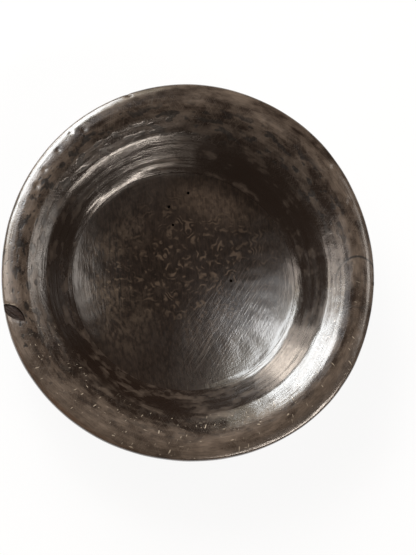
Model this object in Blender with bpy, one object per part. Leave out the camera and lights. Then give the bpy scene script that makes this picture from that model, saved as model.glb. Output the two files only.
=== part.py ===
"""Wooden offering bowl: a shallow turned bowl with a flared, rolled lip, on a foot ring.

It is made as a jointed piece of turned woodware: the wall ring sits on the flange of the floor dish,
the foot ring is tongued into the dish and pegged, an old repair is let into the lip, and a dead knot
lies loose in its hole. Units are metres, +Z is up, and the origin is on the table under the rim's centre.
"""

import math

import bmesh
import bpy
from mathutils import Matrix, Vector

# Lip, which rolls over from the flare; its width and drop run from where the two slopes would meet
RIM_DIAMETER = 0.210
LIP_WIDTH = 0.0092
LIP_DROP = 0.0044
LIP_ROLL_RADIUS = 0.019
LIP_THICKNESS = 0.0083
LIP_EDGE_HEIGHT = 0.0036
LIP_EDGE_RADIUS = 0.0017
UNDER_LIP_RADIUS = 0.014

# Flare, from the lip down to the shoulder where it turns into the wall
FLARE_WIDTH = 0.0170
FLARE_RISE = 0.0081
SHOULDER_RADIUS = 0.016
UNDER_SHOULDER_RADIUS = 0.026

# Wall, with its rise from the edge of the floor to where the lip's slopes meet
WALL_RISE = 0.0208
WALL_THICKNESS = 0.009
WALL_STEP = 0.0004

# Cove where the wall turns up from the floor
COVE_WIDTH = 0.0030
COVE_SLOPE = 30.0
COVE_RADIUS = 0.018

# How far the rim is off centre and has warped as the wood dried, with the directions in degrees
OFF_CENTRE = 0.0019
OFF_CENTRE_DIRECTION = 58.0
OVAL_WARP = 0.0021
OVAL_DIRECTION = 69.0
THREE_SIDED_WARP = 0.0007
THREE_SIDED_DIRECTION = -33.0
FOUR_SIDED_WARP = 0.0004
FOUR_SIDED_DIRECTION = 47.0
SADDLE_WARP = 0.0008

# Floor dish
FLOOR_DIAMETER = 0.1245
FLOOR_SAG = 0.0121
BASE_THICKNESS = 0.0065
BELLY_REACH = 0.013
BELLY_RISE = 0.0075
BELLY_RADIUS = 0.030

# Tongue on the dish's flange that locates the wall ring
WALL_TONGUE_WIDTH = 0.003
WALL_TONGUE_HEIGHT = 0.0025
WALL_TONGUE_INSET = 0.003

# Foot ring, its tongue and its pegs
FOOT_DIAMETER = 0.108
FOOT_HEIGHT = 0.009
FOOT_WIDTH = 0.013
FOOT_COVE = 0.0016
FOOT_COVE_RADIUS = 0.008
FOOT_EDGE_RADIUS = 0.001
FOOT_TONGUE_WIDTH = 0.007
FOOT_TONGUE_HEIGHT = 0.003
FOOT_PEG_COUNT = 4
FOOT_PEG_DIAMETER = 0.004
FOOT_PEG_LENGTH = 0.0165
FOOT_PEG_RECESS = 0.0005
FOOT_PEG_DIRECTION = 45.0

# Repair let into the lip: an oval that is widest inside the rim's edge, which keys it in
PATCH_DIRECTION = -1.0
PATCH_LENGTH = 0.029
PATCH_REACH = 0.0228
PATCH_KEY_DEPTH = 0.0106
PATCH_PEG_DIAMETER = 0.0022
PATCH_PEG_LENGTH = 0.026
PATCH_PEG_TILT = 14.0
PATCH_PEG_ENTRY_DROP = 0.0004

# Dead knot in the lip
KNOT_DIRECTION = 195.6
KNOT_INSET = 0.0062
KNOT_LENGTH = 0.0152
KNOT_WIDTH = 0.0062
KNOT_TURN = 37.5
KNOT_SUNK = 0.0009
KNOT_POCKET_DEPTH = 0.005

# Glue line or clearance left between pieces that touch
GAP = 0.0003
# How far a cutter runs past the surface that it opens
CUTTER_OVERRUN = 0.009

# Facets
TURNED_SEGMENTS = 64
FLOOR_STEPS = 10
ARC_STEP = math.radians(13.0)
PEG_SEGMENTS = 14
OVAL_SEGMENTS = 40
KNOT_ARC_STEPS = 10
SHARP_ANGLE = math.radians(35.0)
TINY = 1e-7

# Levels and radii worked out from the sizes above
RIM_RADIUS = RIM_DIAMETER / 2
FLOOR_RADIUS = FLOOR_DIAMETER / 2
FLOOR_LEVEL = FOOT_HEIGHT + BASE_THICKNESS
SEAT_LEVEL = FLOOR_LEVEL + FLOOR_SAG
RING_LEVEL = SEAT_LEVEL + GAP
WALL_FOOT = Vector((FLOOR_RADIUS, SEAT_LEVEL + WALL_STEP))
COVE = WALL_FOOT + COVE_WIDTH * Vector((1.0, math.tan(math.radians(COVE_SLOPE))))
LIP_PEAK = Vector((RIM_RADIUS - LIP_WIDTH, SEAT_LEVEL + WALL_RISE))
LIP_EDGE = Vector((RIM_RADIUS, LIP_PEAK.y - LIP_DROP))
SHOULDER = LIP_PEAK - Vector((FLARE_WIDTH, FLARE_RISE))
FLARE_SLOPE = math.atan2(FLARE_RISE, FLARE_WIDTH)
LIP_SLOPE = math.atan2(LIP_DROP, LIP_WIDTH)
ROLL_CUT = math.cos((LIP_SLOPE - FLARE_SLOPE) / 2) / math.cos((LIP_SLOPE + FLARE_SLOPE) / 2) - 1
RIM_LEVEL = LIP_PEAK.y - LIP_ROLL_RADIUS * ROLL_CUT
WALL_LINE = (SHOULDER - WALL_FOOT).normalized()
SHOULDER_LINE = (WALL_LINE + (LIP_PEAK - SHOULDER).normalized()).normalized()
UNDER_SHOULDER = SHOULDER + WALL_THICKNESS * Vector((SHOULDER_LINE.y, -SHOULDER_LINE.x))
FLANGE_RADIUS = FLOOR_RADIUS + WALL_THICKNESS / WALL_LINE.y
WALL_TONGUE_OUTER = FLANGE_RADIUS - WALL_TONGUE_INSET
WALL_TONGUE_INNER = WALL_TONGUE_OUTER - WALL_TONGUE_WIDTH
FOOT_RADIUS = FOOT_DIAMETER / 2
FOOT_TOP = FOOT_HEIGHT - GAP
FOOT_MIDDLE_RADIUS = FOOT_RADIUS - FOOT_WIDTH / 2
FOOT_TONGUE_OUTER = FOOT_MIDDLE_RADIUS + FOOT_TONGUE_WIDTH / 2
FOOT_TONGUE_INNER = FOOT_MIDDLE_RADIUS - FOOT_TONGUE_WIDTH / 2


def rounded(corners):
    """The outline through (radius, height, fillet) corners, with fillets held to the room there is."""
    count = len(corners)
    points = [Vector(corner[:2]) for corner in corners]
    sides = [points[(i + 1) % count] - points[i] for i in range(count)]
    turns = [sides[i - 1].angle_signed(sides[i]) for i in range(count)]
    wanted = [corner[2] * math.tan(abs(turn) / 2) for corner, turn in zip(corners, turns)]
    room = [
        min(1.0, sides[i].length / max(wanted[i] + wanted[(i + 1) % count], TINY))
        for i in range(count)
    ]
    outline = []
    for i, point in enumerate(points):
        reach = wanted[i] * min(room[i - 1], room[i])
        if reach < TINY:
            outline.append(point)
            continue
        start = point - reach * sides[i - 1].normalized()
        end = point + reach * sides[i].normalized()
        radius = reach / math.tan(abs(turns[i]) / 2)
        inward = (start + end) / 2 - point
        centre = point + inward.normalized() * math.hypot(radius, reach)
        steps = math.ceil(abs(turns[i]) / ARC_STEP)
        for step in range(steps + 1):
            turn = Matrix.Rotation(-turns[i] * step / steps, 2)
            outline.append(centre + turn @ (start - centre))
    return outline


def floor_arc():
    """The floor's hollow, from its lowest point on the axis up to its edge."""
    radius = (FLOOR_RADIUS**2 + FLOOR_SAG**2) / (2 * FLOOR_SAG)
    half_angle = math.asin(FLOOR_RADIUS / radius)
    for step in range(FLOOR_STEPS + 1):
        angle = half_angle * step / FLOOR_STEPS
        yield radius * math.sin(angle), FLOOR_LEVEL + radius * (1 - math.cos(angle)), 0.0


def turned_mesh(name, outline):
    """A mesh turned about the Z axis from an outline of (radius, height) points."""
    shape = bmesh.new()
    corners = [shape.verts.new((point.x, 0.0, point.y)) for point in outline]
    edges = [
        shape.edges.new((first, second))
        for first, second in zip(corners, corners[1:] + corners[:1])
        if max(first.co.x, second.co.x) > TINY
    ]
    bmesh.ops.spin(
        shape,
        geom=corners + edges,
        cent=(0, 0, 0),
        axis=(0, 0, 1),
        angle=2 * math.pi,
        steps=TURNED_SEGMENTS,
        use_merge=True,
    )
    return finished_mesh(name, shape)


def prism_mesh(name, outline, bottom, top):
    """An upright prism on an outline of (x, y) points."""
    shape = bmesh.new()
    face = shape.faces.new([shape.verts.new((x, y, bottom)) for x, y in outline])
    raised = bmesh.ops.extrude_face_region(shape, geom=[face])["geom"]
    moved = [item for item in raised if isinstance(item, bmesh.types.BMVert)]
    bmesh.ops.translate(shape, vec=(0, 0, top - bottom), verts=moved)
    return finished_mesh(name, shape)


def peg_mesh(name, diameter, length):
    """A round peg standing on the origin."""
    turns = [2 * math.pi * i / PEG_SEGMENTS for i in range(PEG_SEGMENTS)]
    outline = [(diameter / 2 * math.cos(turn), diameter / 2 * math.sin(turn)) for turn in turns]
    return prism_mesh(name, outline, 0.0, length)


def finished_mesh(name, shape):
    bmesh.ops.remove_doubles(shape, verts=shape.verts, dist=TINY)
    bmesh.ops.recalc_face_normals(shape, faces=shape.faces)
    mesh = bpy.data.meshes.new(name)
    shape.to_mesh(mesh)
    shape.free()
    mesh.shade_smooth()
    mesh.set_sharp_from_angle(angle=SHARP_ANGLE)
    return mesh


def warp_rim(mesh):
    """Moves the ring out of round and out of flat, not at its seat and most at its edge."""
    edge_rise = LIP_EDGE.y - LIP_EDGE_HEIGHT - RING_LEVEL
    for vertex in mesh.vertices:
        x, y, z = vertex.co
        angle = math.atan2(y, x)
        risen = min(max((z - RING_LEVEL) / edge_rise, 0.0), 1.0)
        reached = max((math.hypot(x, y) - FLOOR_RADIUS) / (RIM_RADIUS - FLOOR_RADIUS), 0.0)
        share = risen * risen * (3 - 2 * risen) * reached
        off_centre = math.cos(angle - math.radians(OFF_CENTRE_DIRECTION))
        oval = math.cos(2 * (angle - math.radians(OVAL_DIRECTION)))
        three_sided = math.cos(3 * (angle - math.radians(THREE_SIDED_DIRECTION)))
        four_sided = math.cos(4 * (angle - math.radians(FOUR_SIDED_DIRECTION)))
        warped = OVAL_WARP * oval + THREE_SIDED_WARP * three_sided + FOUR_SIDED_WARP * four_sided
        grown = share * (OFF_CENTRE * off_centre + warped)
        moved = Vector((grown * math.cos(angle), grown * math.sin(angle), share * SADDLE_WARP * oval))
        vertex.co += moved


def wood(name, colour, roughness):
    material = bpy.data.materials.new(name)
    material.use_nodes = True
    shader = material.node_tree.nodes["Principled BSDF"]
    shader.inputs["Base Color"].default_value = (*colour, 1.0)
    shader.inputs["Roughness"].default_value = roughness
    shader.inputs["Metallic"].default_value = 0.0
    return material


def piece(mesh, material=None):
    """A sub-part named as its mesh, or a guide that is left out of the part if it has no material."""
    made = bpy.data.objects.new(mesh.name, mesh)
    bpy.context.scene.collection.objects.link(made)
    made.parent = bowl
    if material:
        mesh.materials.append(material)
    else:
        made.hide_render = True
        made.display_type = "WIRE"
    return made


def carve(target, tool, operation="DIFFERENCE"):
    cut = target.modifiers.new(tool.name, "BOOLEAN")
    cut.operation = operation
    cut.object = tool


def rim_mesh(name):
    """The wall ring before its pockets are cut: wall, flare and rolled lip, and the groove under it."""
    groove_level = SEAT_LEVEL + WALL_TONGUE_HEIGHT + GAP
    mesh = turned_mesh(name, rounded([
        (FLOOR_RADIUS, RING_LEVEL, 0.0),
        (WALL_FOOT.x, WALL_FOOT.y, 0.0),
        (COVE.x, COVE.y, COVE_RADIUS),
        (SHOULDER.x, SHOULDER.y, SHOULDER_RADIUS),
        (LIP_PEAK.x, LIP_PEAK.y, LIP_ROLL_RADIUS),
        (LIP_EDGE.x, LIP_EDGE.y, LIP_EDGE_RADIUS),
        (LIP_EDGE.x, LIP_EDGE.y - LIP_EDGE_HEIGHT, LIP_EDGE_RADIUS),
        (LIP_PEAK.x, RIM_LEVEL - LIP_THICKNESS, UNDER_LIP_RADIUS),
        (UNDER_SHOULDER.x, UNDER_SHOULDER.y, UNDER_SHOULDER_RADIUS),
        (FLANGE_RADIUS, RING_LEVEL, 0.0),
        (WALL_TONGUE_OUTER + GAP, RING_LEVEL, 0.0),
        (WALL_TONGUE_OUTER + GAP, groove_level, 0.0),
        (WALL_TONGUE_INNER - GAP, groove_level, 0.0),
        (WALL_TONGUE_INNER - GAP, RING_LEVEL, 0.0),
    ]))
    warp_rim(mesh)
    return mesh


def make_floor_dish():
    """The floor, the base under it, and the flange and tongue that carry the wall ring."""
    groove_level = FOOT_HEIGHT + FOOT_TONGUE_HEIGHT
    tongue_level = SEAT_LEVEL + WALL_TONGUE_HEIGHT
    mesh = turned_mesh("floor_dish", rounded([
        *floor_arc(),
        (WALL_TONGUE_INNER, SEAT_LEVEL, 0.0),
        (WALL_TONGUE_INNER, tongue_level, 0.0),
        (WALL_TONGUE_OUTER, tongue_level, 0.0),
        (WALL_TONGUE_OUTER, SEAT_LEVEL, 0.0),
        (FLANGE_RADIUS, SEAT_LEVEL, 0.0),
        (FOOT_RADIUS + BELLY_REACH, FOOT_HEIGHT + BELLY_RISE, BELLY_RADIUS),
        (FOOT_RADIUS, FOOT_HEIGHT, 0.0),
        (FOOT_TONGUE_OUTER + GAP, FOOT_HEIGHT, 0.0),
        (FOOT_TONGUE_OUTER + GAP, groove_level, 0.0),
        (FOOT_TONGUE_INNER - GAP, groove_level, 0.0),
        (FOOT_TONGUE_INNER - GAP, FOOT_HEIGHT, 0.0),
        (0.0, FOOT_HEIGHT, 0.0),
    ]))
    return piece(mesh, wood("floor_dish_lacquered_burl", (0.030, 0.021, 0.016), 0.32))


def make_foot_ring():
    """The turned foot: a shallow cove outside, and a tongue on top that enters the dish."""
    tongue_level = FOOT_TOP + FOOT_TONGUE_HEIGHT
    mesh = turned_mesh("foot_ring", rounded([
        (FOOT_RADIUS, FOOT_TOP, 0.0),
        (FOOT_RADIUS - FOOT_COVE, FOOT_TOP / 2, FOOT_COVE_RADIUS),
        (FOOT_RADIUS, 0.0, FOOT_EDGE_RADIUS),
        (FOOT_RADIUS - FOOT_WIDTH, 0.0, FOOT_EDGE_RADIUS),
        (FOOT_RADIUS - FOOT_WIDTH, FOOT_TOP, 0.0),
        (FOOT_TONGUE_INNER, FOOT_TOP, 0.0),
        (FOOT_TONGUE_INNER, tongue_level, 0.0),
        (FOOT_TONGUE_OUTER, tongue_level, 0.0),
        (FOOT_TONGUE_OUTER, FOOT_TOP, 0.0),
    ]))
    return piece(mesh, wood("foot_ring_lacquered_wood", (0.035, 0.025, 0.018), 0.40))


def make_foot_pegs(foot_ring, floor_dish):
    """Pegs driven up through the foot ring into the dish, their ends just below the foot's face."""
    material = wood("foot_peg_end_grain", (0.095, 0.060, 0.035), 0.55)
    for number in range(FOOT_PEG_COUNT):
        angle = math.radians(FOOT_PEG_DIRECTION) + 2 * math.pi * number / FOOT_PEG_COUNT
        place = Vector((math.cos(angle), math.sin(angle), 0.0)) * FOOT_MIDDLE_RADIUS
        name = f"foot_peg_{number + 1}"
        peg = piece(peg_mesh(name, FOOT_PEG_DIAMETER, FOOT_PEG_LENGTH), material)
        peg.location = place + Vector((0, 0, FOOT_PEG_RECESS))
        bore_length = CUTTER_OVERRUN + FOOT_PEG_RECESS + FOOT_PEG_LENGTH + GAP
        bore = piece(peg_mesh(f"{name}_bore", FOOT_PEG_DIAMETER + 2 * GAP, bore_length))
        bore.location = place - Vector((0, 0, CUTTER_OVERRUN))
        carve(foot_ring, bore)
        carve(floor_dish, bore)


def patch_outline(shrink):
    """The oval of the repair, or of its pocket, in plan."""
    centre_radius = RIM_RADIUS - PATCH_KEY_DEPTH
    half_reach = PATCH_REACH - PATCH_KEY_DEPTH - shrink
    half_length = PATCH_LENGTH / 2 - shrink
    turn = Matrix.Rotation(math.radians(PATCH_DIRECTION), 2)
    for i in range(OVAL_SEGMENTS):
        angle = 2 * math.pi * i / OVAL_SEGMENTS
        across = centre_radius + half_reach * math.cos(angle)
        yield turn @ Vector((across, half_length * math.sin(angle)))


def make_rim_patch(rim_wall, rim_form):
    """The repair takes its surfaces from the lip, and a peg from the rim's edge holds it down."""
    top = RIM_LEVEL + CUTTER_OVERRUN
    pocket = piece(prism_mesh("patch_pocket", patch_outline(0.0), RING_LEVEL, top))
    blank = prism_mesh("rim_patch", patch_outline(GAP), RING_LEVEL, top)
    patch = piece(blank, wood("rim_patch_paler_wood", (0.075, 0.055, 0.042), 0.38))
    carve(rim_wall, pocket)
    carve(patch, rim_form, "INTERSECT")

    peg_turn = Matrix.Rotation(math.radians(PATCH_DIRECTION), 4, "Z")
    peg_tilt = Matrix.Rotation(math.radians(-90.0 - PATCH_PEG_TILT), 4, "Y")
    entry = peg_turn @ Vector((LIP_EDGE.x, 0.0, LIP_EDGE.y - PATCH_PEG_ENTRY_DROP))
    place = Matrix.Translation(entry) @ peg_turn @ peg_tilt
    blank = peg_mesh("patch_peg", PATCH_PEG_DIAMETER, PATCH_PEG_LENGTH)
    peg = piece(blank, wood("patch_peg_end_grain", (0.060, 0.040, 0.026), 0.55))
    bore_length = CUTTER_OVERRUN + PATCH_PEG_LENGTH + GAP
    bore = piece(peg_mesh("patch_peg_bore", PATCH_PEG_DIAMETER + 2 * GAP, bore_length))
    peg.matrix_world = place
    bore.matrix_world = place @ Matrix.Translation((0, 0, -CUTTER_OVERRUN))
    carve(peg, rim_form, "INTERSECT")
    carve(rim_wall, bore)
    carve(patch, bore)


def knot_outline(shrink):
    """A lens of two equal arcs, in plan, lying across the lip."""
    half_length = KNOT_LENGTH / 2 - shrink
    half_width = KNOT_WIDTH / 2 - shrink
    arc_radius = (half_length**2 + half_width**2) / (2 * half_width)
    half_angle = math.asin(half_length / arc_radius)
    direction = math.radians(KNOT_DIRECTION)
    turn = Matrix.Rotation(direction + math.pi / 2 + math.radians(KNOT_TURN), 2)
    centre = Vector((math.cos(direction), math.sin(direction))) * (RIM_RADIUS - KNOT_INSET)
    for side in (1, -1):
        for step in range(KNOT_ARC_STEPS):
            angle = side * half_angle * (2 * step / KNOT_ARC_STEPS - 1)
            along = arc_radius * math.sin(angle)
            across = arc_radius * math.cos(angle) - (arc_radius - half_width)
            yield centre + turn @ Vector((-along, side * across))


def make_rim_knot(rim_wall):
    """The knot follows the lip's surface a little below it, loose in a blind pocket."""
    bottom = RIM_LEVEL - KNOT_POCKET_DEPTH
    top = RIM_LEVEL + CUTTER_OVERRUN
    pocket = piece(prism_mesh("knot_pocket", knot_outline(0.0), bottom, top))
    carve(rim_wall, pocket)
    lowered = piece(rim_mesh("rim_form_lowered"))
    lowered.location.z = -KNOT_SUNK
    blank = prism_mesh("rim_knot", knot_outline(GAP), bottom + GAP, top)
    knot = piece(blank, wood("rim_knot_dark_heartwood", (0.018, 0.014, 0.012), 0.60))
    carve(knot, lowered, "INTERSECT")


for existing in list(bpy.data.objects):
    bpy.data.objects.remove(existing)

# The rim is off centre on the well, and the bowl is set over so that the rim is the one over the origin
bowl = bpy.data.objects.new("offering_bowl", None)
bowl.location = Matrix.Rotation(math.radians(OFF_CENTRE_DIRECTION), 3, "Z") @ Vector((-OFF_CENTRE, 0.0, 0.0))
bpy.context.scene.collection.objects.link(bowl)

wall_ring = piece(rim_mesh("rim_wall"), wood("rim_wall_lacquered_wood", (0.045, 0.034, 0.027), 0.35))
uncut_rim = piece(rim_mesh("rim_form"))
dish = make_floor_dish()
foot = make_foot_ring()
make_foot_pegs(foot, dish)
make_rim_patch(wall_ring, uncut_rim)
make_rim_knot(wall_ring)
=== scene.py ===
# %% [markdown]
# # A wooden offering bowl
# An old, shallow bowl: turned from dark wood, finished with many rubbed coats of lacquer, and worn by years
# of handling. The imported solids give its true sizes. This lesson gives it its surface: the unevenness of
# hand turning, the rubbed lip with its repair and its dead knot, the burl in the floor, and a finish that
# shows all of it by the way it shines. We load the solids first, as a fixed frame in metres.

import math

import bpy
import numpy as np
from mathutils import Matrix, Vector


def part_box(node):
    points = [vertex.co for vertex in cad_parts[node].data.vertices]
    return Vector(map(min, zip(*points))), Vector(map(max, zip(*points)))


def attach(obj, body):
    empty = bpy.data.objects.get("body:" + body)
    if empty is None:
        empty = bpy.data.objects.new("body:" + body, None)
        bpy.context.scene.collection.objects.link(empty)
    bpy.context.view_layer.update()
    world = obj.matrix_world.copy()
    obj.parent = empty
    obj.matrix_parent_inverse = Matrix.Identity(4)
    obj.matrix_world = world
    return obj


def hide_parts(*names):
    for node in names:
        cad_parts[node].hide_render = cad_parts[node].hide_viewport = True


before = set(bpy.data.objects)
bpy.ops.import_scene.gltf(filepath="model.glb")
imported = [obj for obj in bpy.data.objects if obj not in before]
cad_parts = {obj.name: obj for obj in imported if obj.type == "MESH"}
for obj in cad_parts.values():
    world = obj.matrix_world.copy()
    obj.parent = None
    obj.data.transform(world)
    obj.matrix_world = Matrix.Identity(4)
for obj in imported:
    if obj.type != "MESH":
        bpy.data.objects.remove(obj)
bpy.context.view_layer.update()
scene = bpy.context.scene
scene.view_settings.view_transform = "Standard"
MM = 0.001
print("solids:", ", ".join(sorted(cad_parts)))

# %% [markdown]
# ## The turned sizes
# A turned bowl is known by a few sizes. The levels where the pieces meet come from the frame, and the rest
# repeats what the solids were turned to, so that each new surface lies where its solid lies. The lip rolls
# over between two slopes, which would meet in a peak.

# %% Turned sizes
GAP = 0.3 * MM
RIM_RADIUS = 105.0 * MM
LIP_WIDTH = 9.2 * MM
LIP_DROP = 4.4 * MM
LIP_ROLL_RADIUS = 19.0 * MM
LIP_THICKNESS = 8.3 * MM
LIP_EDGE_HEIGHT = 3.6 * MM
LIP_EDGE_RADIUS = 1.7 * MM
UNDER_LIP_RADIUS = 14.0 * MM
FLARE_WIDTH = 17.0 * MM
FLARE_RISE = 8.1 * MM
SHOULDER_RADIUS = 16.0 * MM
UNDER_SHOULDER_RADIUS = 26.0 * MM
WALL_RISE = 20.8 * MM
WALL_THICKNESS = 9.0 * MM
WALL_STEP = 0.4 * MM
COVE_WIDTH = 3.0 * MM
COVE_SLOPE = math.radians(30)
COVE_RADIUS = 18.0 * MM
OFF_CENTRE = 1.9 * MM
OFF_CENTRE_DIRECTION = 58
FLOOR_RADIUS = 62.25 * MM
FLOOR_SAG = 12.1 * MM
PATCH_DIRECTION = -1.0
PATCH_LENGTH = 29.0 * MM
PATCH_REACH = 22.8 * MM
PATCH_KEY_DEPTH = 10.6 * MM
RING_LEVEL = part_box("rim_wall")[0].z
SEAT_LEVEL = RING_LEVEL - GAP
FLOOR_LEVEL = SEAT_LEVEL - FLOOR_SAG
LIP_PEAK = Vector((RIM_RADIUS - LIP_WIDTH, SEAT_LEVEL + WALL_RISE))
LIP_EDGE = Vector((RIM_RADIUS, LIP_PEAK.y - LIP_DROP))
SHOULDER = LIP_PEAK - Vector((FLARE_WIDTH, FLARE_RISE))
WALL_FOOT = Vector((FLOOR_RADIUS, SEAT_LEVEL + WALL_STEP))
flare_slope = math.atan2(FLARE_RISE, FLARE_WIDTH)
lip_slope = math.atan2(LIP_DROP, LIP_WIDTH)
roll_cut = math.cos((lip_slope - flare_slope) / 2) / math.cos((lip_slope + flare_slope) / 2) - 1
RIM_LEVEL = LIP_PEAK.y - LIP_ROLL_RADIUS * roll_cut
BOWL_PLACE = Matrix.Rotation(math.radians(OFF_CENTRE_DIRECTION), 3, "Z") @ Vector((-OFF_CENTRE, 0, 0))
print(f"rim {2 * RIM_RADIUS / MM:.0f} mm across, its top {RIM_LEVEL / MM:.1f} mm above the table")

# %% [markdown]
# ## Camera
# The photograph looks down into the bowl from about a metre, leaning to the lower left. The rim is a circle
# of known width, so its width and place in the picture give the lens and the shift.

# %% Camera
PHOTO_WIDTH = 416
PHOTO_HEIGHT = 555
RIM_CENTRE_PIXEL = (191.6, 268.6)
RIM_WIDTH_PIXELS = 385.8
CAMERA_DISTANCE = 1.2
CAMERA_LEAN = (-0.16, -0.26)
SENSOR = 36.0

towards_camera = Vector((*CAMERA_LEAN, math.sqrt(1 - CAMERA_LEAN[0] ** 2 - CAMERA_LEAN[1] ** 2)))
to_the_right = Vector((0, 1, 0)).cross(towards_camera).normalized()
upwards = towards_camera.cross(to_the_right)
focal_pixels = RIM_WIDTH_PIXELS / (2 * RIM_RADIUS) * CAMERA_DISTANCE

lens = bpy.data.cameras.new("photo_camera")
lens.sensor_width = SENSOR
lens.lens = focal_pixels / PHOTO_HEIGHT * SENSOR
lens.shift_x = (PHOTO_WIDTH / 2 - RIM_CENTRE_PIXEL[0]) / PHOTO_HEIGHT
lens.shift_y = (RIM_CENTRE_PIXEL[1] - PHOTO_HEIGHT / 2) / PHOTO_HEIGHT
lens.clip_start = 0.01
camera = bpy.data.objects.new("photo_camera", lens)
scene.collection.objects.link(camera)
turn = Matrix((to_the_right, upwards, towards_camera)).transposed().to_4x4()
place = Vector((0, 0, RIM_LEVEL)) + CAMERA_DISTANCE * towards_camera
camera.matrix_world = Matrix.Translation(place) @ turn
scene.camera = camera
print(f"lens {lens.lens:.1f} mm, shift {lens.shift_x:.4f}, {lens.shift_y:.4f}")

# %% [markdown]
# ## Light
# A dark lacquer has little colour of its own, so what it mirrors is most of what we see. A window to the
# upper left gives the long highlight on the opposite side, and the panels above and below it carry that
# highlight into the floor and down the wall. A doorway to the lower right gives the broken arcs opposite to
# it, and dim panels light the sides. Most bright lamps lie in a wider, dimmer one, because a highlight that
# ends in steps looks soft, as in a room. The window and the doorway are rolled, because their highlights
# lean in the photograph. A softbox is set by its radiance, where 1 shows white, and we add up the light that
# falls on the lip: a total near pi means that a colour renders about as it is written.

# %% Softboxes and sky
SKY_COLOUR = (0.30, 0.24, 0.19, 1.0)
SKY_STRENGTH = 0.28


def softbox(name, azimuth, elevation, distance, size, radiance, colour, roll=0.0):
    """An oval lamp aimed at the bowl; angles in degrees, azimuth 0 along +X. Returns the light it gives."""
    lamp = bpy.data.lights.new(name, "AREA")
    lamp.shape = "ELLIPSE"
    lamp.size, lamp.size_y = size
    lamp.color = colour
    area = math.pi / 4 * size[0] * size[1]
    lamp.energy = radiance * math.pi * area
    made = bpy.data.objects.new(name, lamp)
    scene.collection.objects.link(made)
    around, up = math.radians(azimuth), math.radians(elevation)
    direction = Vector((math.cos(up) * math.cos(around), math.cos(up) * math.sin(around), math.sin(up)))
    aimed = direction.to_track_quat("Z", "Y").to_matrix().to_4x4()
    rolled = aimed @ Matrix.Rotation(math.radians(roll), 4, "Z")
    made.matrix_world = Matrix.Translation(distance * direction) @ rolled
    return radiance * area * math.sin(up) / distance**2


# Name, azimuth, elevation, distance, size, radiance, colour and, where there is one, roll
light_on_lip = sum((
    softbox("window_softbox", 123, 39, 2.0, (1.5, 0.56), 14.5, (0.93, 0.97, 1.0), 20),
    softbox("window_glow_panel", 121, 40, 2.1, (2.4, 1.1), 1.8, (1.0, 0.87, 0.66), 20),
    softbox("upper_window_panel", 123, 52, 2.0, (0.44, 0.42), 12, (0.97, 0.98, 1.0)),
    softbox("ceiling_panel", 124, 63, 2.0, (1.1, 0.5), 1.3, (0.98, 0.98, 1.0)),
    softbox("low_window_panel", 122, 13.5, 2.0, (0.62, 0.36), 8, (1.0, 0.87, 0.74), 20),
    softbox("low_glow_panel", 124, 14, 2.1, (1.4, 0.5), 4.2, (1.0, 0.87, 0.76), 20),
    softbox("door_panel", 324, 38, 2.2, (1.5, 0.2), 15, (1.0, 0.89, 0.79), -14),
    softbox("door_glow_panel", 319, 39, 2.2, (2.0, 0.24), 4.5, (1.0, 0.86, 0.74), -14),
    softbox("passage_panel", 316, 39, 2.3, (3.0, 0.6), 0.8, (1.0, 0.84, 0.7), -14),
    softbox("right_panel", 18, 37, 2.2, (0.6, 0.3), 3.4, (1.0, 0.92, 0.84)),
    softbox("right_glow_panel", 18, 38, 2.3, (1.3, 0.6), 2.0, (1.0, 0.92, 0.84)),
    softbox("left_panel", 160, 49, 2.2, (0.7, 0.66), 3.8, (1.0, 0.86, 0.76)),
))
sky = bpy.data.worlds.new("studio_sky")
sky.use_nodes = True
sky_shader = sky.node_tree.nodes["Background"]
sky_shader.inputs["Color"].default_value = SKY_COLOUR
sky_shader.inputs["Strength"].default_value = SKY_STRENGTH
scene.world = sky
light_on_lip += math.pi * SKY_COLOUR[1] * SKY_STRENGTH
print(f"light on the lip {light_on_lip / math.pi:.2f} pi")

# %% [markdown]
# ## Nodes and colours
# Every finish below is a small network of nodes. One function adds a node with its settings and links, and
# one turns a colour written as sRGB hex into the linear numbers that Blender uses.

# %% Node and colour helpers
MIX_FACTOR, MIX_A, MIX_B, MIX_COLOUR = 0, 6, 7, 2
SOFT = "SMOOTHSTEP"


def linear(hex_colour):
    """A colour written as sRGB hex, as linear red, green, blue and alpha."""
    values = [int(hex_colour[i:i + 2], 16) / 255 for i in (1, 3, 5)]
    return [v / 12.92 if v <= 0.04045 else ((v + 0.055) / 1.055) ** 2.4 for v in values] + [1.0]


def node(tree, kind, inputs=None, output=0, **settings):
    """Adds a node with its settings and its inputs, which are values or links, and returns an output."""
    made = tree.nodes.new("ShaderNode" + kind)
    for name, value in settings.items():
        setattr(made, name, value)
    for socket, value in (inputs or {}).items():
        if isinstance(value, bpy.types.NodeSocket):
            tree.links.new(value, made.inputs[socket])
        else:
            made.inputs[socket].default_value = value
    return made.outputs[output]


def new_finish(name):
    """A named material with a Principled shader, as (material, its node tree, the shader)."""
    material = bpy.data.materials.new(name)
    material.use_nodes = True
    tree = material.node_tree
    return material, tree, tree.nodes["Principled BSDF"]


print("linear value of #808080:", round(linear("#808080")[0], 3))

# %% [markdown]
# ## Floor
# The bowl stands on pale paper. To the camera the paper glows at strength 1, which is white, with a share of
# its true shading left in so that the bowl keeps its shadow. Far away it fades to the colour of the sky, so
# that low views have no hard horizon.

# %% Pale paper floor
PAPER_REACH = 12.0
PAPER_FADE = (0.5, 5.0)
PAPER_GLOW = 0.91

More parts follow.
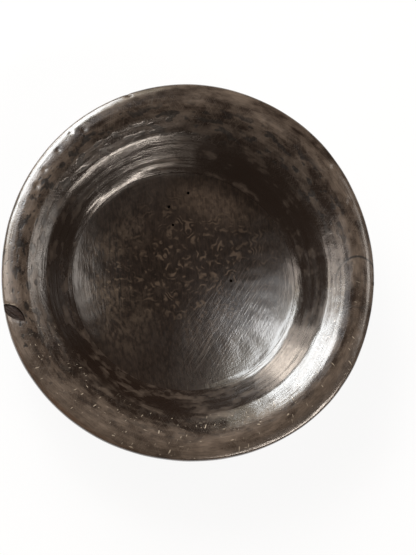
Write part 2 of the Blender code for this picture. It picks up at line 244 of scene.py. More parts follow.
bpy.ops.mesh.primitive_circle_add(vertices=128, radius=PAPER_REACH, fill_type="NGON")
paper = bpy.context.object
paper.name = "paper_floor"
paper_finish, tree, shader = new_finish("matt_white_paper")
shader.inputs["Base Color"].default_value = linear("#F1F0EE")
shader.inputs["Roughness"].default_value = 0.9
shader.inputs["Specular IOR Level"].default_value = 0.0
position = node(tree, "TexCoord", output="Object")
distance = node(tree, "VectorMath", {0: position}, "Value", operation="LENGTH")
fade = node(tree, "MapRange", {
    "Value": distance, "From Min": PAPER_FADE[0], "From Max": PAPER_FADE[1],
}, interpolation_type=SOFT)
far_colour = [SKY_STRENGTH * value for value in SKY_COLOUR[:3]] + [1.0]
glow_colour = node(tree, "Mix", {
    MIX_FACTOR: fade, MIX_A: (1.0, 1.0, 1.0, 1.0), MIX_B: far_colour,
}, MIX_COLOUR, data_type="RGBA")
glow = node(tree, "Emission", {"Color": glow_colour, "Strength": 1.0})
seen = node(tree, "LightPath", output="Is Camera Ray")
for ray in ("Is Glossy Ray", "Is Transmission Ray"):
    seen = node(tree, "Math", {0: seen, 1: node(tree, "LightPath", output=ray)}, operation="MAXIMUM")
near_share = node(tree, "MapRange", {"Value": fade, "To Min": PAPER_GLOW, "To Max": 1.0})
share = node(tree, "Math", {0: seen, 1: near_share}, operation="MULTIPLY")
mixed = node(tree, "MixShader", {0: share, 1: shader.outputs["BSDF"], 2: glow})
tree.links.new(mixed, tree.nodes["Material Output"].inputs["Surface"])
paper.data.materials.append(paper_finish)
print("paper floor", 2 * PAPER_REACH, "m across")

# %% [markdown]
# ## Turning a profile
# On a lathe a bowl is one outline swept round an axis. An outline here is a list of corners, each with a
# fillet and the finish that starts there. We lay points along it at an even spacing, because an even mesh
# takes fine relief well, and we set the columns closer together where the rim is mended or pierced.

# %% Outline and mesh helpers
INSIDE, OUTSIDE, BARE = range(3)
TINY = 1e-7


def outline_points(corners, spacing):
    """Points and finishes along a closed outline of (radius, height, fillet, finish) corners."""
    count = len(corners)
    points = [Vector(corner[:2]) for corner in corners]
    sides = [points[(i + 1) % count] - points[i] for i in range(count)]
    turns = [sides[i - 1].angle_signed(sides[i]) for i in range(count)]
    reaches = [corner[2] * math.tan(abs(turn) / 2) for corner, turn in zip(corners, turns)]
    laid, finishes = [], []
    for i, point in enumerate(points):
        start = point - reaches[i] * sides[i - 1].normalized()
        end = point + reaches[i] * sides[i].normalized()
        stretch = [start]
        if reaches[i] > TINY:
            centre = point + ((start + end) / 2 - point).normalized() * math.hypot(reaches[i], corners[i][2])
            steps = math.ceil(corners[i][2] * abs(turns[i]) / spacing) + 1
            spin = [Matrix.Rotation(-turns[i] * k / steps, 2) for k in range(steps + 1)]
            stretch = [centre + turn @ (start - centre) for turn in spin]
        next_start = points[(i + 1) % count] - reaches[(i + 1) % count] * sides[i].normalized()
        steps = max(1, math.ceil((next_start - end).length / spacing))
        stretch += [end.lerp(next_start, k / steps) for k in range(1, steps)]
        laid += stretch
        finishes += [corners[i][3]] * len(stretch)
    return np.array(laid), np.array(finishes)


def column_angles(step, close_step=None, windows=()):
    """Angles round the axis in radians, closer inside the windows of (direction, half width) in degrees."""
    angles, angle = [], 0.0
    while angle < 360.0:
        angles.append(angle)
        near = any(abs((angle - middle + 180) % 360 - 180) < half for middle, half in windows)
        angle += close_step if near else step
    return np.radians(np.array(angles) * 360.0 / angle)


def turned_mesh(name, outline, angles, relief):
    """A closed mesh swept round the axis; relief moves each point out along the outline's normal."""
    points, finishes = outline
    on_axis = points[:, 0] < TINY
    ahead = np.roll(points, -1, axis=0) - points
    ahead /= np.linalg.norm(ahead, axis=1)[:, None]
    tangent = ahead + np.roll(ahead, 1, axis=0)
    tangent /= np.linalg.norm(tangent, axis=1)[:, None]
    tangent[on_axis] = [1.0, 0.0]
    steps = np.linalg.norm(np.diff(points, axis=0), axis=1)
    along = np.concatenate([[0.0], np.cumsum(steps)])
    raised = relief(angles[:, None], along[None, :], points[None, :, 0]) * ~on_axis
    radius = points[:, 0] - raised * tangent[:, 1]
    height = points[:, 1] + raised * tangent[:, 0]
    swept = np.stack([radius * np.cos(angles)[:, None], radius * np.sin(angles)[:, None], height], axis=-1)

    columns, count = radius.shape
    index = np.arange(columns * count).reshape(columns, count)
    index[:, on_axis] = index[0, on_axis]
    faces, slots = [], []
    for c in range(columns):
        here, there = index[c], index[(c + 1) % columns]
        for k in range(count):
            after = (k + 1) % count
            if not (on_axis[k] and on_axis[after]):
                faces.append(list(dict.fromkeys((here[k], here[after], there[after], there[k]))))
                slots.append(finishes[k])
    used = np.unique(np.concatenate(faces))
    renumber = np.zeros(columns * count, int)
    renumber[used] = np.arange(len(used))
    mesh = bpy.data.meshes.new(name)
    mesh.from_pydata(swept.reshape(-1, 3)[used].tolist(), [], [renumber[face].tolist() for face in faces])
    mesh.polygons.foreach_set("material_index", np.array(slots, np.int32))
    return mesh


print("finishes by number: inside", INSIDE, "outside", OUTSIDE, "bare wood", BARE)

# %% [markdown]
# ## Unevenness
# Wood that was turned by hand and rubbed for years is never quite even. A sum of seeded waves gives the slow
# unevenness that makes the highlights wander, and soft round dents give the knocks. Both are geometry, so
# they show in the outline and in any light.

# %% Unevenness helpers
MEAN_RADIUS = 85.0 * MM


def waves(angle, along, seed, length, depth, count=28):
    """A seeded sum of waves of about one length in all directions; a whole number fit round the bowl."""
    draw = np.random.default_rng(seed)
    total = 0.0
    for _ in range(count):
        slant, phase = draw.uniform(0, 2 * math.pi, 2)
        around = round(2 * math.pi * MEAN_RADIUS / length * math.cos(slant))
        total = total + np.cos(around * angle + 2 * math.pi / length * math.sin(slant) * along + phase)
    return depth * math.sqrt(2 / count) * total


def dent(angle, along, radius, direction, at, size, depth):
    """A soft round dent at a direction in degrees and a distance along the outline."""
    turned = (angle - math.radians(direction) + math.pi) % (2 * math.pi) - math.pi
    return -depth * np.exp(-((turned * radius) ** 2 + (along - at) ** 2) / size**2)


def ease(value, low, high):
    """A smooth step from 0 at low to 1 at high."""
    share = np.clip((value - low) / (high - low), 0.0, 1.0)
    return share * share * (3 - 2 * share)


print("mean radius of the patterns", MEAN_RADIUS / MM, "mm")

# %% [markdown]
# ## Cutting
# The repair, the knot and the pegs are let into the turned pieces. A Boolean does here what the knife did:
# it cuts the pocket, and the faces that it leaves show bare wood. The tools are closed prisms and pegs.

# %% Cutting helpers
SHARP_ANGLE = math.radians(32)


def add_piece(mesh):
    made = bpy.data.objects.new(mesh.name, mesh)
    made.location = BOWL_PLACE
    scene.collection.objects.link(made)
    return made


def prism(name, outline, bottom, top):
    """A prism that stands on a plan outline, with bare wood as its finish."""
    count = len(outline)
    corners = [(x, y, bottom) for x, y in outline] + [(x, y, top) for x, y in outline]
    sides = [(i, (i + 1) % count, count + (i + 1) % count, count + i) for i in range(count)]
    mesh = bpy.data.meshes.new(name)
    mesh.from_pydata(corners, [], sides + [tuple(range(count))[::-1], tuple(range(count, 2 * count))])
    mesh.polygons.foreach_set("material_index", np.full(len(mesh.polygons), BARE, np.int32))
    return add_piece(mesh)


def carve(piece, tool, operation="DIFFERENCE"):
    """Cuts the piece with the tool, or keeps what both share, as a new plain mesh."""
    cut = piece.modifiers.new(tool.name, "BOOLEAN")
    cut.solver = "MANIFOLD"
    cut.operation = operation
    cut.object = tool
    graph = bpy.context.evaluated_depsgraph_get()
    mesh = bpy.data.meshes.new_from_object(piece.evaluated_get(graph))
    piece.modifiers.clear()
    piece.data = mesh
    mesh.name = piece.name


def finish_piece(piece, finishes, node_name):
    """Gives a piece its finishes, shading and slot, in the place of its solid."""
    piece.data.materials.clear()
    for finish in finishes:
        piece.data.materials.append(finish)
    piece.data.shade_smooth()
    piece.data.set_sharp_from_angle(angle=SHARP_ANGLE)
    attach(piece, "root")
    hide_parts(node_name)
    print(f"{piece.name}: {len(piece.data.polygons)} faces")


print("sharp edges from", round(math.degrees(SHARP_ANGLE)), "degrees")

# %% [markdown]
# ## Patterns that run round the bowl
# On turned ware, streaks and tool marks run round the axis and scratches from wiping run across them. An
# angle would break at its seam, so we use the direction from the axis as a unit vector: noise read on that
# circle, and on the distance out from the axis, closes by itself. Every size is a length in millimetres.
# A pattern is a share from 0 to 1; shares are multiplied, added up by weight, or used to lay colours.

# %% Pattern helpers
SPOT_CORE = 0.2
NO_START = (-2 * MM, -1 * MM)
NO_END = (120 * MM, 130 * MM)


def bowl_axes(tree):
    """Sockets for a turned finish: place, direction from the axis, radius, and the way across the rings."""
    place = node(tree, "TexCoord", output="Object")
    flat = node(tree, "VectorMath", {0: place, 1: (1.0, 1.0, 0.0)}, operation="MULTIPLY")
    direction = node(tree, "VectorMath", {0: flat}, operation="NORMALIZE")
    radius = node(tree, "VectorMath", {0: flat}, "Value", operation="LENGTH")
    height = node(tree, "SeparateXYZ", {0: place}, "Z")
    across = node(tree, "Math", {0: height, 1: 0.5, 2: radius}, operation="MULTIPLY_ADD")
    return {"place": place, "direction": direction, "radius": radius, "across": across}


def grain(tree, axes, along, across, low, high, detail=3.0, roughness=0.55, slant=0.0):
    """Noise drawn out to a length round the bowl and one across it, spread from 0 at low to 1 at high."""
    direction = axes["direction"]
    if slant:
        lead = math.tan(math.radians(slant)) / MEAN_RADIUS
        angle = node(tree, "Math", {0: axes["across"], 1: lead}, operation="MULTIPLY")
        direction = node(tree, "VectorRotate", {"Vector": direction, "Angle": angle}, rotation_type="Z_AXIS")
    ring = node(tree, "VectorMath", {0: direction, "Scale": MEAN_RADIUS / along}, operation="SCALE")
    out = node(tree, "Math", {0: axes["across"], 1: across}, operation="DIVIDE")
    lift = node(tree, "CombineXYZ", {"Z": out})
    laid = node(tree, "VectorMath", {0: ring, 1: lift}, operation="ADD")
    cloud = node(tree, "TexNoise", {"Vector": laid, "Scale": 1.0, "Detail": detail, "Roughness": roughness})
    return node(tree, "MapRange", {
        "Value": cloud, "From Min": low, "From Max": high,
    }, interpolation_type=SOFT)


def figure(tree, axes, sizes, turn, low, high, detail=2.0, distortion=0.0, ridged=False):
    """Noise drawn out to two sizes in plan and turned by degrees; ridged noise is lines instead of blots."""
    laid = node(tree, "Mapping", {
        "Vector": axes["place"], "Rotation": (0.0, 0.0, math.radians(turn)), "Scale": (*sizes, max(sizes)),
    }, vector_type="TEXTURE")
    cloud = node(tree, "TexNoise", {
        "Vector": laid, "Scale": 1.0, "Detail": detail, "Distortion": distortion,
    })
    if ridged:
        centred = node(tree, "Math", {0: cloud, 1: 0.5}, operation="SUBTRACT")
        cloud = node(tree, "Math", {0: centred}, operation="ABSOLUTE")
    return node(tree, "MapRange", {
        "Value": cloud, "From Min": low, "From Max": high,
    }, interpolation_type=SOFT)


def curls(tree, axes, middle, spacing, swirl, low, high):
    """Lines about one spacing apart that curl round a middle, as a burl's fibres do; swirl sizes a curl."""
    # A wave node repeats every pi / 10 of its scaled length
    scale = math.pi / (10 * spacing)
    laid = node(tree, "VectorMath", {0: axes["place"], 1: (*middle, 0.0)}, operation="SUBTRACT")
    lines = node(tree, "TexWave", {
        "Vector": laid, "Scale": scale, "Distortion": 46.0, "Detail": 3.0,
        "Detail Scale": 1 / (scale * swirl), "Detail Roughness": 0.6,
    }, "Fac", wave_type="RINGS", rings_direction="Z")
    return node(tree, "MapRange", {
        "Value": lines, "From Min": low, "From Max": high,
    }, interpolation_type=SOFT)


def spot(tree, axes, middle, sizes, turn=0.0):
    """A share that is 1 in the core of an oval in plan and falls to 0 at its edge; sizes are half widths."""
    laid = node(tree, "Mapping", {
        "Vector": axes["place"], "Location": (*middle, 0.0), "Rotation": (0.0, 0.0, math.radians(turn)),
        "Scale": (*sizes, 1.0),
    }, vector_type="TEXTURE")
    flat = node(tree, "VectorMath", {0: laid, 1: (1.0, 1.0, 0.0)}, operation="MULTIPLY")
    away = node(tree, "VectorMath", {0: flat}, "Value", operation="LENGTH")
    return node(tree, "MapRange", {
        "Value": away, "From Min": 1.0, "From Max": SPOT_CORE,
    }, interpolation_type=SOFT)


def band(tree, value, edges):
    """A share that is 1 between the inner two of four edges and falls softly to 0 at the outer two. The bowl
    never meets the edges NO_START and NO_END."""
    rise, fall = (node(tree, "MapRange", {"Value": value, "From Min": none, "From Max": full},
                       interpolation_type=SOFT) for none, full in (edges[:2], edges[:1:-1]))
    return node(tree, "Math", {0: rise, 1: fall}, operation="MULTIPLY")


def facing(tree, axes, direction, low, high):
    """A share that grows towards the side of the bowl that lies in a direction in degrees."""
    towards = (math.cos(math.radians(direction)), math.sin(math.radians(direction)), 0.0)
    turned = node(tree, "VectorMath", {0: axes["direction"], 1: towards}, "Value", operation="DOT_PRODUCT")
    return node(tree, "MapRange", {
        "Value": turned, "From Min": low, "From Max": high,
    }, interpolation_type=SOFT)


def all_of(tree, *shares):
    """A share that is high only where all of these are."""
    total = shares[0]
    for share in shares[1:]:
        total = node(tree, "Math", {0: total, 1: share}, operation="MULTIPLY")
    return total


def weighted_sum(tree, start, *terms):
    """A start value plus each (weight, share)."""
    total = start
    for weight, share in terms:
        total = node(tree, "Math", {0: share, 1: weight, 2: total}, operation="MULTIPLY_ADD")
    return total


def lay_colours(tree, ground, *layers):
    """A ground colour with each (strength, share, sRGB hex colour) laid over it in turn."""
    colour = linear(ground)
    for strength, share, over in layers:
        factor = node(tree, "Math", {0: share, 1: strength}, operation="MULTIPLY")
        colour = node(tree, "Mix", {
            MIX_FACTOR: factor, MIX_A: colour, MIX_B: linear(over),
        }, MIX_COLOUR, data_type="RGBA")
    return colour


def set_surface(tree, shader, colour, roughness, relief, depth):
    """Links colour, roughness and a relief of this depth to the shader."""
    bump = node(tree, "Bump", {"Height": relief, "Distance": depth, "Strength": 1.0})
    links = (("Base Color", colour), ("Roughness", roughness), ("Normal", bump), ("Coat Normal", bump))
    for socket, value in links:
        tree.links.new(value, shader.inputs[socket])


print("one turn is", round(2 * math.pi * MEAN_RADIUS / MM), "mm round")

# %% [markdown]
# ## Rubbed lacquer of the rim
# The rim is hardwood under many thin coats of dark lacquer, rubbed down by hand and by use. On the lip the
# coats have worn to a greyish brown, and on the wall they are still deep. The top of the rim and the lower
# right edge are darkened with painted shade, and the flare is laid darker towards the top. Dark tangential
# blots are left where the wood's pores hold more lacquer, wiping has left hair scratches across the rings,
# old dirt fills the joint of the repair, and the lower edge is worn to the wood. Lacquer has an IOR near
# 1.5, and rubbing leaves it satin, so its roughness wanders.

# %% Rim lacquer
LACQUER_IOR = 1.54
PATCH_MIDDLE = Matrix.Rotation(math.radians(PATCH_DIRECTION), 2) @ Vector((RIM_RADIUS - PATCH_KEY_DEPTH, 0))
PATCH_HALF_WIDTHS = Vector((PATCH_REACH - PATCH_KEY_DEPTH, PATCH_LENGTH / 2))


def top_coat(shader, roughness, sheen):
    """The clear last coat, which mirrors more sharply than the rubbed coats with their sheen under it."""
    shader.inputs["IOR"].default_value = LACQUER_IOR
    shader.inputs["Specular IOR Level"].default_value = sheen
    shader.inputs["Coat Weight"].default_value = 1.0
    shader.inputs["Coat IOR"].default_value = LACQUER_IOR
    shader.inputs["Coat Roughness"].default_value = roughness


def rubbed_lacquer(name, deep, worn):
    """Deep lacquer on the wall, worn paler on flare and lip, with painted shade at the top and lower right.
    """
    material, tree, shader = new_finish(name)
    axes = bowl_axes(tree)
    radius = axes["radius"]
    cloud = grain(tree, axes, 26 * MM, 10 * MM, 0.36, 0.64, 3.0, 0.55)
    mottle = grain(tree, axes, 8 * MM, 4.5 * MM, 0.34, 0.66, 2.5, 0.55)
    streak = grain(tree, axes, 30 * MM, 1.5 * MM, 0.36, 0.64, 2.0, 0.5)
    fibre = grain(tree, axes, 4 * MM, 0.5 * MM, 0.35, 0.7, 2.0)
    pore = grain(tree, axes, 6.5 * MM, 3.4 * MM, 0.54, 0.62, 1.0, 0.5)
    speck = grain(tree, axes, 3.0 * MM, 1.7 * MM, 0.64, 0.7, 1.0)
    nick = weighted_sum(tree, 0.0,
                        (1.0, grain(tree, axes, 1.1 * MM, 4.5 * MM, 0.71, 0.77, 1.0, slant=14)),
                        (1.0, grain(tree, axes, 3.6 * MM, 1.1 * MM, 0.72, 0.77, 1.0, slant=-22)))
    hair = weighted_sum(tree, 0.0,
                        (0.5, grain(tree, axes, 0.5 * MM, 7 * MM, 0.48, 0.72, 2.0, slant=24)),
                        (0.5, grain(tree, axes, 0.55 * MM, 6 * MM, 0.48, 0.72, 2.0, slant=-31)))

    lip = node(tree, "MapRange", {"Value": radius, "From Min": 76 * MM, "From Max": 96 * MM},
               interpolation_type=SOFT)
    # How worn the coat is, with a facing term that darkens the top of the rim as painted shade
    rubbed = weighted_sum(tree, -0.43, (0.56, lip), (0.42, cloud), (0.36, mottle), (0.1, streak),
                          (-0.17, facing(tree, axes, 75, -0.3, 0.8)))
    # The flare is laid darker towards the top
    darker_top_flare = all_of(tree, band(tree, radius, (77 * MM, 81 * MM, 89 * MM, 98 * MM)),
                    facing(tree, axes, 95, 0.3, 0.8))
    blots = all_of(tree, pore, band(tree, radius, (77 * MM, 82 * MM, 93 * MM, 99 * MM)),
                   weighted_sum(tree, 0.35, (0.65, facing(tree, axes, 112, -0.55, 0.3))))
    pits = all_of(tree, speck, band(tree, radius, (86 * MM, 92 * MM, 100 * MM, 104 * MM)),
                  facing(tree, axes, 165, 0.3, 0.8))
    nicks = all_of(tree, nick, band(tree, radius, (76 * MM, 82 * MM, 102 * MM, 104 * MM)),
                   facing(tree, axes, 275, -0.3, 0.5))
    hairs = all_of(tree, hair, band(tree, radius, (72 * MM, 84 * MM, 99 * MM, 104 * MM)))
    edge = all_of(tree, cloud, band(tree, radius, (102 * MM, 104.5 * MM, *NO_END)),
                  facing(tree, axes, 275, -0.1, 0.6))
    # Painted shade: the outer lip at the lower right is laid darker, towards the deep colour
    painted_shade_lower_right = all_of(tree, band(tree, radius, (96 * MM, 101 * MM, *NO_END)),
                    facing(tree, axes, 316, 0.8, 0.97))
    # The spot is sized to have half faded where the joint lies
    half_faded = (1 + SPOT_CORE) / 2
    oval = spot(tree, axes, PATCH_MIDDLE, PATCH_HALF_WIDTHS / half_faded, PATCH_DIRECTION)
    seam = all_of(tree, band(tree, oval, (0.43, 0.475, 0.525, 0.57)),
                  weighted_sum(tree, 0.4, (0.6, facing(tree, axes, 90, -0.14, 0.04))))

    colour = lay_colours(tree, deep, (1.0, rubbed, worn), (0.35, fibre, deep), (0.5, painted_shade_lower_right, deep),
                         (0.3, darker_top_flare, "#17100C"), (0.95, blots, "#110C0A"), (0.9, pits, "#0E0B09"),
                         (0.14, hairs, "#7A6E64"), (0.7, nicks, "#B5A998"), (0.6, edge, "#4E3624"),
                         (0.85, seam, "#120D0A"))
    rough = weighted_sum(tree, 0.19, (0.1, cloud), (0.06, mottle), (0.08, blots), (0.12, hairs),
                         (0.3, seam))
    relief = weighted_sum(tree, 0.0, (0.45, streak), (0.2, fibre), (0.3, mottle), (-0.8, blots),
                          (-0.6, pits), (-0.45, hairs))
    set_surface(tree, shader, colour, rough, relief, 0.045 * MM)
    top_coat(shader, 0.14, 0.35)
    return material


rim_lacquer = rubbed_lacquer("rubbed_dark_lacquer_on_turned_hardwood", "#1B120D", "#6D6055")
patch_lacquer = rubbed_lacquer("rubbed_dark_lacquer_on_repair_wood", "#1F150F", "#72655A")
print(rim_lacquer.name, len(rim_lacquer.node_tree.nodes), "nodes")

# %% [markdown]
# ## Lacquered burl of the floor
# The floor is cut from a burl, a knotty growth whose fibres swirl. Under the dark lacquer its figure shows
# as short wandering flecks, a little paler and warmer, thick in the middle and gone near the edge, where the
# coat is deeper. Stirring has left a soft bundle of scratches across the lower right.

# %% Floor lacquer
BURL_MIDDLE = (6 * MM, 12 * MM)
STREAK_MIDDLE = (-38 * MM, 2 * MM)
FADED_MIDDLE = (17 * MM, 50 * MM)
SCRATCH_MIDDLE = (28 * MM, -21 * MM)
SCRATCH_TURN = 58.0


def lacquered_burl():
    material, tree, shader = new_finish("rubbed_dark_lacquer_on_burl")
    axes = bowl_axes(tree)
    cloud = figure(tree, axes, (24 * MM, 24 * MM), 0, 0.39, 0.61, 4.0)
    mottle = figure(tree, axes, (2.0 * MM, 3.4 * MM), 12, 0.36, 0.64, 4.0)
    curl = curls(tree, axes, BURL_MIDDLE, 9 * MM, 24 * MM, 0.3, 1.0)
    patchy = figure(tree, axes, (5.4 * MM, 4.2 * MM), 30, 0.44, 0.66, 2.5)
    inner = band(tree, axes["radius"], (*NO_START, 50 * MM, 62 * MM))
    dots = figure(tree, axes, (3.0 * MM, 2.2 * MM), 0, 0.58, 0.74, 1.0)
    fibre = figure(tree, axes, (0.7 * MM, 5 * MM), 8, 0.4, 0.75)
    upright = figure(tree, axes, (1.3 * MM, 44 * MM), 3, 0.54, 0.64)
    rings = all_of(tree, grain(tree, axes, 40 * MM, 2.2 * MM, 0.35, 0.65),
                   band(tree, axes["radius"], (22 * MM, 42 * MM, *NO_END)))
    line = weighted_sum(tree, 0.0,
                        (0.5, figure(tree, axes, (17 * MM, 0.7 * MM), SCRATCH_TURN - 4, 0.5, 0.72)),
                        (0.5, figure(tree, axes, (14 * MM, 0.6 * MM), SCRATCH_TURN + 5, 0.5, 0.72)))
    figured = all_of(tree, curl, patchy, spot(tree, axes, BURL_MIDDLE, (60 * MM, 54 * MM)))
    dotted = all_of(tree, dots, spot(tree, axes, STREAK_MIDDLE, (22 * MM, 30 * MM)))
    # Paler mottling on the left of the floor: partly the wood's own tone, partly a painted sheen
    pale_mottle_and_painted_sheen = all_of(tree, inner, mottle, cloud, spot(tree, axes, STREAK_MIDDLE, (34 * MM, 60 * MM)))
    faded = all_of(tree, inner, weighted_sum(tree, 0.35, (0.4, mottle), (0.35, fibre)),
                   spot(tree, axes, FADED_MIDDLE, (36 * MM, 20 * MM), -18))
    streaks = all_of(tree, upright, spot(tree, axes, STREAK_MIDDLE, (20 * MM, 44 * MM)))
    scratches = all_of(tree, line, spot(tree, axes, SCRATCH_MIDDLE, (46 * MM, 34 * MM), SCRATCH_TURN))

    colour = lay_colours(tree, "#110A07", (0.4, cloud, "#1E1510"), (0.3, mottle, "#2A1F18"),
                         (0.6, pale_mottle_and_painted_sheen, "#54483C"), (0.62, faded, "#574A40"), (0.25, fibre, "#3A2E24"),
                         (0.85, streaks, "#0F0A08"), (0.65, figured, "#5A4C40"), (0.4, dotted, "#6A5C4E"),
                         (0.55, scratches, "#6E645C"))
    rough = weighted_sum(tree, 0.29, (0.08, cloud), (0.06, mottle), (0.12, scratches))
    relief = weighted_sum(tree, 0.0, (0.4, rings), (0.3, fibre), (0.3, mottle), (0.25, figured),
                          (-0.8, scratches))
    set_surface(tree, shader, colour, rough, relief, 0.045 * MM)
    top_coat(shader, 0.18, 0.2)
    return material


floor_lacquer = lacquered_burl()
print(floor_lacquer.name, len(floor_lacquer.node_tree.nodes), "nodes")

# %% [markdown]
# ## Lacquer of the outside
# The outside has the same lacquer in a plainer state: fine rings from the lathe, and rubbed spots where
# hands hold the bowl.

# %% Outside lacquer
def outside_lacquer():
    material, tree, shader = new_finish("dark_lacquer_on_turned_hardwood")
    axes = bowl_axes(tree)
    cloud = grain(tree, axes, 32 * MM, 14 * MM, 0.32, 0.7, 4.0, 0.6)
    streak = grain(tree, axes, 60 * MM, 1.8 * MM, 0.4, 0.7, 3.0, 0.6)
    fibre = grain(tree, axes, 7 * MM, 0.5 * MM, 0.45, 0.75, 2.0)
    pore = grain(tree, axes, 8 * MM, 2.6 * MM, 0.58, 0.66, 3.0)
    colour = lay_colours(tree, "#251C17", (1.0, cloud, "#463B33"), (0.45, streak, "#1D1613"),
                         (0.3, fibre, "#54473C"), (0.5, pore, "#171210"))
    rough = weighted_sum(tree, 0.28, (0.1, cloud), (-0.04, streak), (0.06, pore))
    relief = weighted_sum(tree, 0.0, (0.6, streak), (0.25, fibre), (-0.5, pore))
    set_surface(tree, shader, colour, rough, relief, 0.06 * MM)
    top_coat(shader, 0.2, 0.5)
    return material


outer_lacquer = outside_lacquer()
print(outer_lacquer.name, len(outer_lacquer.node_tree.nodes), "nodes")

# %% [markdown]
# ## Bare wood, knot and peg ends
# Bare wood shows in the joints, in the beetle holes and where the foot rests: dull, brown with age, its
# fibres running round. A dead knot is dense dark heartwood with checks along it. A peg shows end grain,
# which is fine growth rings, here drawn as rings about the peg's own axis.

# %% Wood without lacquer
def bare_wood():
    material, tree, shader = new_finish("bare_turned_hardwood_darkened_by_age")
    axes = bowl_axes(tree)
    fibre = grain(tree, axes, 9 * MM, 0.7 * MM, 0.35, 0.7)
    cloud = grain(tree, axes, 18 * MM, 7 * MM, 0.4, 0.7)
    colour = lay_colours(tree, "#33251B", (1.0, fibre, "#5E4733"), (0.7, cloud, "#261C16"))
    rough = weighted_sum(tree, 0.55, (0.12, fibre))
    set_surface(tree, shader, colour, rough, fibre, 0.1 * MM)
    return material


def dead_knot(turn):
    material, tree, shader = new_finish("dead_knot_heartwood")
    axes = bowl_axes(tree)
    fibre = figure(tree, axes, (9 * MM, 0.8 * MM), turn, 0.3, 0.7)
    check = figure(tree, axes, (7 * MM, 1.3 * MM), turn + 6, 0.012, 0.04, 2.0, 0.4, ridged=True)
    colour = lay_colours(tree, "#140E0C", (1.0, fibre, "#2C201B"), (0.4, check, "#382A23"))
    rough = weighted_sum(tree, 0.62, (-0.2, check))
    shader.inputs["Specular IOR Level"].default_value = 0.2
    relief = weighted_sum(tree, 0.0, (0.35, fibre), (0.65, check))
    set_surface(tree, shader, colour, rough, relief, 0.25 * MM)
    return material


def peg_end_grain():
    material, tree, shader = new_finish("oiled_peg_end_grain")
    place = node(tree, "TexCoord", output="Object")
    # A wave node repeats every pi / 10 of its scaled length, so these rings lie 1 mm apart
    rings = node(tree, "TexWave", {
        "Vector": place, "Scale": 1 / (3.2 * MM), "Distortion": 1.5, "Detail": 2.0, "Detail Scale": 1.5,
    }, "Fac", wave_type="RINGS", rings_direction="Z")
    pores = node(tree, "TexNoise", {"Vector": place, "Scale": 1 / (0.35 * MM), "Detail": 1.0})
    colour = lay_colours(tree, "#2A1D14", (0.8, rings, "#5B432E"), (0.5, pores, "#1E1510"))
    rough = weighted_sum(tree, 0.5, (0.15, rings))
    set_surface(tree, shader, colour, rough, rings, 0.08 * MM)
    return material


joint_wood = bare_wood()
peg_wood = peg_end_grain()
print(joint_wood.name, "and", peg_wood.name)

# %% [markdown]
# ## Wall ring
# The ring is the bowl's wall, flare and lip in one turned piece, with a groove below that sits over the
# floor's tongue. The rim has warped as it dried, as in the solids, and on the far left its edge has risen a
# little more, which they leave out. Knocks lie where the photograph shows them, softer dents are spread by a
# seed, and the edge of the knot's hole is worn. Sculpting could give the same, but a formula can be set
# again when a size changes.

# %% Wall ring
# Each warp as the number of its bulges, its size and the direction of a bulge
WARPS = ((1, OFF_CENTRE, OFF_CENTRE_DIRECTION), (2, 2.1 * MM, 69), (3, 0.7 * MM, -33), (4, 0.4 * MM, 47))
SADDLE_WARP = 0.8 * MM
SADDLE_DIRECTION = 69
EDGE_LIFT = 0.55 * MM
EDGE_LIFT_DIRECTION = 145
TONGUE_INSET = 3.0 * MM
TONGUE_WIDTH = 3.0 * MM
TONGUE_HEIGHT = 2.5 * MM
KNOT_DIRECTION = 195.6
KNOT_INSET = 6.2 * MM
KNOT_LENGTH = 15.2 * MM
KNOT_WIDTH = 6.2 * MM
KNOT_TURN = 37.5
KNOT_MIDDLE = Matrix.Rotation(math.radians(KNOT_DIRECTION), 2) @ Vector((RIM_RADIUS - KNOT_INSET, 0))
KNOT_AXIS = KNOT_DIRECTION + 90 + KNOT_TURN
POCKET_WEAR = 0.14 * MM
POCKET_WEAR_WIDTH = 1.1 * MM
RING_SPACING = 0.7 * MM
RING_COLUMN_STEP = 0.6
CLOSE_COLUMN_STEP = 0.25
PATCH_WINDOW = (PATCH_DIRECTION, 11.0)
KNOT_WINDOW = (KNOT_DIRECTION, 8.0)
JOINT_EASE = 5.0 * MM
TOOL_MARK_SPACING = 4.6 * MM
TOOL_MARK_DEPTH = 0.02 * MM
# Waves as (seed, length, depth). Dents and knocks as direction in degrees, then place, size and depth in
# mm, where a dent's place is its distance along the outline and a knock's is its radius.
RING_WAVES = ((3, 60 * MM, 0.10 * MM), (5, 13 * MM, 0.025 * MM))
DENT_SEED = 11
DENT_COUNT = 70
DENT_RANGES = ((0, 360), (18, 60), (1.2, 3.5), (0.02, 0.10))
KNOCKS = (
    (239.6, 101.5, 1.3, 0.35), (220.6, 101.5, 1.0, 0.3), (109, 104.0, 1.2, 0.5), (122, 93.4, 1.6, 0.35),
    (127, 98.0, 1.3, 0.35), (131, 101.5, 1.2, 0.35), (138, 99.3, 1.3, 0.35), (146, 98.6, 1.3, 0.4),
    (152, 97.5, 1.6, 0.45), (155, 95.2, 1.3, 0.35), (26, 99.0, 1.4, 0.35), (38, 100.5, 1.2, 0.3),
)

